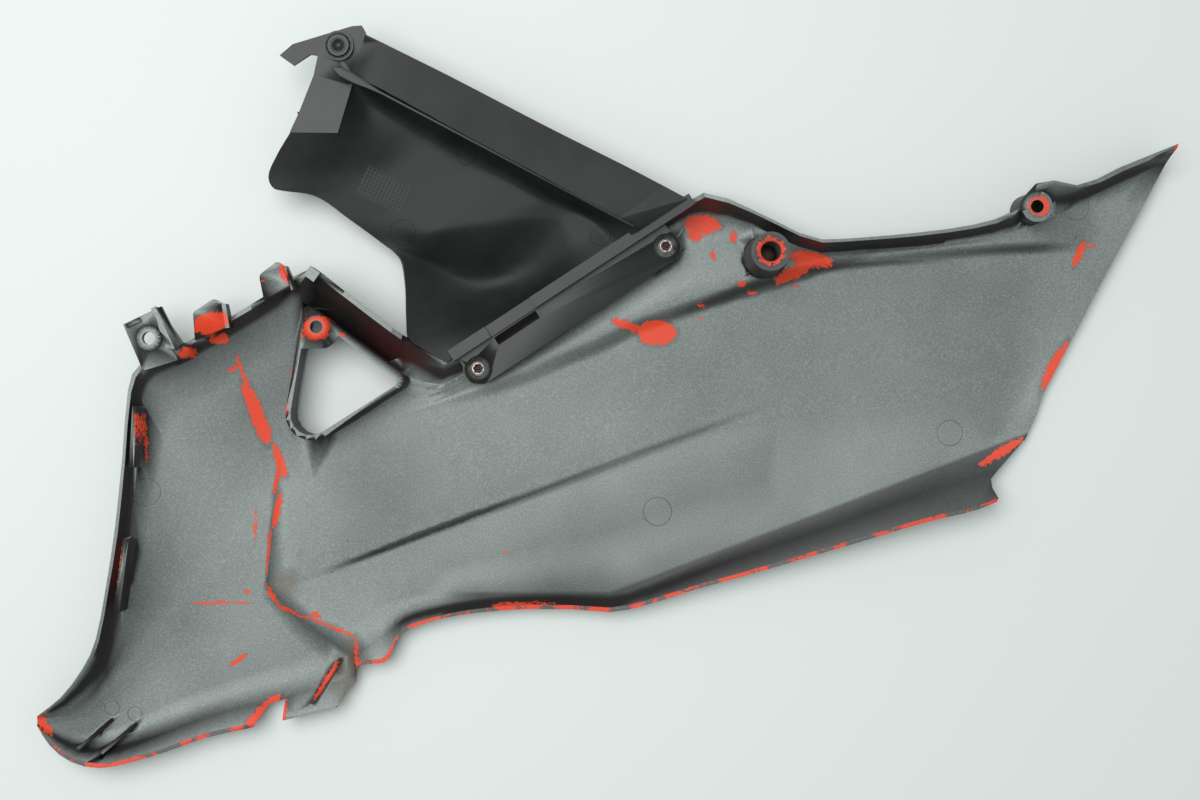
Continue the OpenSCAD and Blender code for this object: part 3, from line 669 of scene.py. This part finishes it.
def refine(mesh, line, band):
    """Halves the floor's long edges within a distance of a line."""
    for edge_limit in EDGE_LIMITS:
        long_edges = []
        for edge in mesh.edges:
            a, b = (corner.co for corner in edge.verts)
            low = a.z < FLOOR_TOP and b.z < FLOOR_TOP
            level = low and any(face.normal.z > 0.9 for face in edge.link_faces)
            if level and edge.calc_length() > edge_limit * MM:
                steps = (a.xy.lerp(b.xy, t) for t in (0, 0.25, 0.5, 0.75, 1))
                if any(abs(polyline_place(step, line)[0]) < band for step in steps):
                    long_edges.append(edge)
        bmesh.ops.subdivide_edges(mesh, edges=long_edges, cuts=1, use_grid_fill=True)
        bmesh.ops.triangulate(mesh, faces=[f for f in mesh.faces if len(f.verts) > 3])
    mesh.normal_update()


print("edges are halved down to", EDGE_LIMITS[-1], "mm")

# %% [markdown]
# Now every point of the floor is lifted by its own amount. A smooth step across the fold gives the
# slope, and the lift fades out with the distance, along the fold and up the walls. What the moves
# have squeezed to nothing is dissolved at the end.

# %% Press the folds into the floor
WALL_FADE = 3 * MM
LEAST_LIFT = 0.01 * MM


def press_fold(piece, fold):
    """Lifts the floor on the upper side of a fold, and says how many points it moved."""
    line = [spot(px, py, FOLD_HEIGHT).xy for px, py in fold["line"]]
    mesh = bmesh.new()
    mesh.from_mesh(piece.data)
    refine(mesh, line, 2.2 * fold["width"] + 2 * MM)
    lifted = 0
    inside = {v for f in mesh.faces if f.normal.z > 0.5 and f.calc_center_median().z < FLOOR_TOP
              for v in f.verts}
    for point in inside:
        reach, along = polyline_place(point.co.xy, line)
        across = smooth(reach / fold["width"] + 0.5)
        fade = smooth(along / fold["starts"]) * smooth((1 - along) / (1 - fold["ends"]))
        far = 1 - smooth((reach - fold["level_to"]) / (fold["gone_at"] - fold["level_to"]))
        lift = fold["lift"] * across * fade * far * smooth((FLOOR_TOP - point.co.z) / WALL_FADE)
        if lift > LEAST_LIFT:
            point.co.z += lift
            lifted += 1
    bmesh.ops.dissolve_degenerate(mesh, edges=mesh.edges, dist=0.002 * MM)
    mesh.to_mesh(piece.data)
    mesh.free()
    return lifted


for name, fold in folds.items():
    print(name, "lifts", press_fold(looks["side_panel"], fold), "points")
activate(looks["side_panel"])
smooth_by_angle(EDGE_ANGLE)

# %% [markdown]
# The bowl of the air guide has a rounded hump, a deep basin below it and a sharp corner, which the
# solid shows only roughly. No stretched primitive has that shape, so the bowl is laid as a grid over
# guide lines. A smooth curve runs through the points of a line. Its slope at each point is held down
# to twice that of its neighbours, so that it never overshoots.

# %% Smooth curve through the points of a line
def curve_point(table, station):
    """Point of a guide line at a station, in millimetres. The table's rows are station, x, y, z."""
    last = len(table) - 2
    i = next((k for k in range(last) if station < table[k + 1][0]), last)

    def slope(k):
        before, here, after = table[max(k - 1, 0)], table[k], table[min(k + 1, len(table) - 1)]
        result = []
        for axis in (1, 2, 3):
            ahead = (after[axis] - here[axis]) / (after[0] - here[0]) if after is not here else 0
            behind = (here[axis] - before[axis]) / (here[0] - before[0]) if before is not here else 0
            across = (after[axis] - before[axis]) / (after[0] - before[0])
            if before is here or after is here:
                result.append(ahead or behind)
            elif ahead * behind <= 0:
                result.append(0.0)
            else:
                steepest = min(abs(across), 2 * abs(ahead), 2 * abs(behind))
                result.append(math.copysign(steepest, across))
        return Vector(result)

    width = table[i + 1][0] - table[i][0]
    u = (station - table[i][0]) / width
    start, end = Vector(table[i][1:]), Vector(table[i + 1][1:])
    return (start * (2 * u ** 3 - 3 * u ** 2 + 1) + end * (3 * u ** 2 - 2 * u ** 3)
            + slope(i) * width * (u ** 3 - 2 * u ** 2 + u) + slope(i + 1) * width * (u ** 3 - u ** 2))


print("halfway between 0 and 10:", curve_point([(0, 0, 0, 0), (1, 10, 10, 10)], 0.5).x)

# %% [markdown]
# Five guide lines run along the bowl, from its free side to its crest. Each row gives a station from 0
# at the tab plate to 7 at the flange, and the point there in millimetres. The places come from the
# photograph's outlines and highlights, the heights from its shading.

# %% Guide lines of the bowl
free_side = [(0, -157.6, 135.1, 30.9), (0.5, -166, 122.8, 27), (1, -170.6, 112.3, 24),
             (1.3, -168.5, 107.3, 23), (1.5, -164.5, 106, 22.5), (2, -149, 104, 20),
             (3, -130.5, 91.9, 17), (4, -112, 78.3, 14), (4.5, -104.6, 72.4, 14),
             (5, -102.4, 59.9, 14), (5.5, -101.6, 44.9, 18), (6, -100.4, 32.4, 22.6),
             (6.5, -92, 25.5, 23), (7, -80.5, 19, 23)]
basin = [(0, -146, 134.6, 30.9), (1, -149, 116.8, 24), (2, -136, 107.8, 19.5), (3, -120, 95.8, 17),
         (4, -98, 77.4, 14), (4.5, -86, 69.4, 8), (5, -73, 62.4, 5), (5.5, -60, 60.4, 4.5),
         (6, -47, 59.4, 7), (6.5, -38, 55.9, 13.5), (7, -39, 48.9, 23)]
hump = [(0, -135.5, 135.8, 30.7), (1, -126, 126.8, 23), (2, -109, 115.3, 18), (3, -96, 101.8, 17.5),
        (4, -82.8, 87.9, 19.5), (5, -54.9, 90.9, 19.5), (6, -25, 91.9, 18), (6.5, -13, 82.9, 19),
        (7, -4, 71.9, 23)]
hollow = [(0, -128, 157.8, 29.5), (0.5, -121.5, 149.8, 24), (1, -112, 143.5, 22), (2, -90, 131.4, 19.3),
          (4, -50.5, 110.2, 19.6), (5, -35, 102.2, 19.6), (6, -14.5, 94.9, 18.5), (6.5, -5.4, 88.9, 19),
          (7, 3.5, 76.8, 23)]
crest = [(0, -127.4, 162.7, 34), (1, -107.5, 152.5, 36), (2, -82.6, 138.6, 37), (4, -42.8, 117.2, 37),
         (6, -4, 96.3, 34), (7, 16.7, 85.4, 29)]
guide_lines = (free_side, basin, hump, hollow, crest)
print(len(guide_lines), "guide lines over", round(crest[-1][1] - crest[0][1]), "mm")

# %% [markdown]
# The old bowl is cut out of the copy first: every face whose middle lies in an outline round the bowl,
# what runs on under the tab plate, and what is left of the small fin at the lower corner.

# %% Cut the old bowl out
bowl_outline = [(-158.5, 133.9), (-134.6, 133.9), (-126.2, 161.8), (-107.5, 151.6), (-82.6, 137.8),
                (-42.8, 116.4), (-4, 95.6), (15.5, 85.2), (9.8, 81.6), (-80.6, 23.5), (-99.2, 30.8),
                (-100.9, 33), (-112, 50), (-125, 76), (-180, 96), (-180, 128)]
GUIDE_ANGLE = 15
PLATE_CORNER = (-130 * MM, 146 * MM)
PLATE_UNDERSIDE = 28.4 * MM
FIN_SPAN = (-98.5 * MM, -95.5 * MM)
FIN_END = 33.5 * MM


def within(point, corners):
    """Whether a point lies inside a closed outline."""
    inside = False
    for a, b in zip(corners, corners[1:] + corners[:1]):
        if (a.y > point.y) != (b.y > point.y):
            if point.x < a.x + (b.x - a.x) * (point.y - a.y) / (b.y - a.y):
                inside = not inside
    return inside


def is_old(face):
    """Whether a face belongs to the old bowl."""
    corners = [corner.co for corner in face.verts]
    under_plate = (all(c.x < PLATE_CORNER[0] and c.y < PLATE_CORNER[1] for c in corners)
                   and min(c.z for c in corners) < PLATE_UNDERSIDE)
    on_fin = all(FIN_SPAN[0] < c.x < FIN_SPAN[1] and c.y < FIN_END for c in corners)
    return within(face.calc_center_median().xy, polygon) or under_plate or on_fin


cut_out = looks["duct_panel"]
polygon = [Vector(corner) * MM for corner in bowl_outline]
mesh = bmesh.new()
mesh.from_mesh(cut_out.data)
old_bowl = [face for face in mesh.faces if is_old(face)]
bmesh.ops.delete(mesh, geom=old_bowl, context="FACES")
mesh.to_mesh(cut_out.data)
mesh.free()
activate(cut_out)
smooth_by_angle(GUIDE_ANGLE)
print(len(old_bowl), "old faces gone,", len(cut_out.data.polygons), "left")

# %% [markdown]
# The new bowl is a fine grid. Along it, each row takes one point from every guide line, and the same
# smooth curve fills in between those. Solidify then gives the sheet its wall downwards.

# %% New bowl
ROWS, COLUMNS = 57, 25
GUIDE_WALL = 2.4 * MM
SOFT_ANGLE = 40
LAST_STATION = 7
corners, quads = [], []
for row in range(ROWS):
    station = LAST_STATION * row / (ROWS - 1)
    knots = [(k, *curve_point(line, station)) for k, line in enumerate(guide_lines)]
    for column in range(COLUMNS):
        corners.append(curve_point(knots, (len(guide_lines) - 1) * column / (COLUMNS - 1)) * MM)
for row in range(ROWS - 1):
    for column in range(COLUMNS - 1):
        a = row * COLUMNS + column
        quads.append((a, a + COLUMNS, a + COLUMNS + 1, a + 1))
bowl_mesh = bpy.data.meshes.new("guide_bowl")
bowl_mesh.from_pydata(corners, [], quads)
bowl = bpy.data.objects.new("guide_bowl", bowl_mesh)
bpy.context.scene.collection.objects.link(bowl)
activate(bowl)
wall = bowl.modifiers.new("wall", "SOLIDIFY")
wall.thickness = GUIDE_WALL
wall.offset = -1
wall.use_even_offset = False
bpy.ops.object.modifier_apply(modifier="wall")
smooth_by_angle(SOFT_ANGLE)
bowl.data.materials.append(bowl_black_shaded.material)
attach(bowl, "root")
print("bowl of", len(bowl.data.polygons), "faces, upper side up:", bowl.data.polygons[0].normal.z > 0)

# %% [markdown]
# A thin lip stands on the crest of the bowl, straight from the tab plate to the far end. It is a
# cube stretched along the crest. Bisect cuts it near its start, where its points are moved apart to
# make a small blade, and a bevel takes the sharpness off its edges.

# %% Lip on the crest
LIP_START = spot(333, 68, 37 * MM)
LIP_END = spot(634, 227, 31 * MM)
LIP_WIDE = 1.3 * MM
LIP_TALL = 6 * MM
BLADE_WIDE = 2.6
BLADE_CUTS = (0.012, 0.03, 0.06, 0.09, 0.12, 0.16)
BLADE_TIP, BLADE_END, BLADE_FADE = 0.03, 0.16, 0.1
run = LIP_END - LIP_START
deselect()
bpy.ops.mesh.primitive_cube_add(size=1, location=(LIP_START + LIP_END) / 2,
                                rotation=run.to_track_quat("X", "Z").to_euler())
lip = bpy.context.object
lip.name = "guide_lip"
lip.scale = (run.length, LIP_WIDE, LIP_TALL)
bpy.ops.object.mode_set(mode="EDIT")
for share in BLADE_CUTS:
    bpy.ops.mesh.select_all(action="SELECT")
    bpy.ops.mesh.bisect(plane_co=LIP_START.lerp(LIP_END, share), plane_no=run)
bpy.ops.object.mode_set(mode="OBJECT")
for corner in lip.data.vertices:
    from_start = corner.co.x + 0.5
    blade = smooth(from_start / BLADE_TIP) * smooth((BLADE_END - from_start) / BLADE_FADE)
    corner.co.y *= 1 + BLADE_WIDE * blade
bpy.ops.object.transform_apply(location=True, rotation=True, scale=True)
edge = lip.modifiers.new("edge", "BEVEL")
edge.width = 0.3 * MM
edge.segments = 2
bpy.ops.object.modifier_apply(modifier="edge")
smooth_by_angle(SOFT_ANGLE)
lip.data.materials.append(finishes["duct_panel"].material)
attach(lip, "root")
print("lip of", round(run.length / MM), "mm with", len(lip.data.polygons), "faces")

# %% [markdown]
# The scraped finish goes on the rims' level faces. They are picked by their normal, their height and
# their distance from two lines along the rims, because the copy has no groups of faces to go by.

# %% Rim faces that are scraped
nose_rim = [(37, 720), (46, 741), (63, 758), (81, 766), (100, 769), (118, 766), (150, 757), (204, 739),
            (254, 727)]
flank_rim = [(358, 665), (383, 663), (400, 634), (415, 626), (443, 619), (470, 613), (520, 609),
             (560, 609), (603, 613), (668, 597), (755, 574), (820, 554), (900, 530), (992, 506)]
RIM_HEIGHT = 13 * MM
RIM_REACH = 5 * MM
RIM_LOWEST = 8 * MM
RIM_LEVEL = 0.96


def line_distance(point, line):
    """Distance on the table from a point to a line through pixels of the photograph."""
    best = 1.0
    corners = [spot(px, py, RIM_HEIGHT).xy for px, py in line]
    for a, b in zip(corners, corners[1:]):
        share = max(0.0, min(1.0, (point - a).dot(b - a) / (b - a).length_squared))
        best = min(best, (point - a - (b - a) * share).length)
    return best


panel = looks["side_panel"]
panel.data.materials.append(scraped.material)
worn = 0
for face in panel.data.polygons:
    place = face.center.xy
    level = face.normal.z > RIM_LEVEL and face.center.z > RIM_LOWEST
    if level and min(line_distance(place, nose_rim), line_distance(place, flank_rim)) < RIM_REACH:
        face.material_index = 1
        worn += 1
print(worn, "faces of the rims are scraped")
